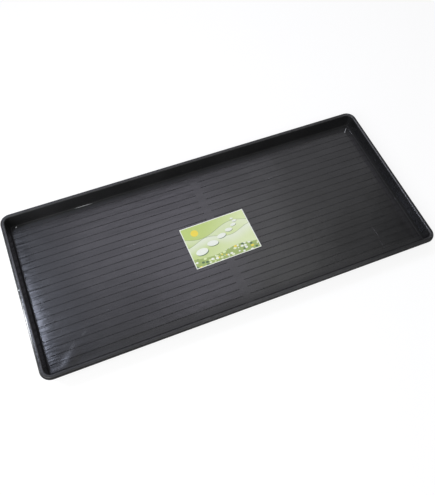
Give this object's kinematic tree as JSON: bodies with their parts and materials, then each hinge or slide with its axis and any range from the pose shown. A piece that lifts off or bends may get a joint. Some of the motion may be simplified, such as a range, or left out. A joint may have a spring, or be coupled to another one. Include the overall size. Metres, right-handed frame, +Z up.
{
  "type": "ribbed garden tray",
  "caption": "Shallow rectangular black plastic tray with a ribbed floor, leaning walls and a turned-down rim, for standing pots or holding gravel, with a paper label on its floor.",
  "frame": {"origin": "on the surface the tray stands on, under the middle of the floor", "axes": "+X along the tray's length, +Y across it away from the viewer, +Z up"},
  "size_m": [1.2, 0.55, 0.044],
  "materials": {
    "black_plastic": "satin",
    "printed_paper": "printed, semi-matt"
  },
  "bodies": {
    "root": {"tray": "black_plastic", "label": "printed_paper"}
  },
  "joints": []
}
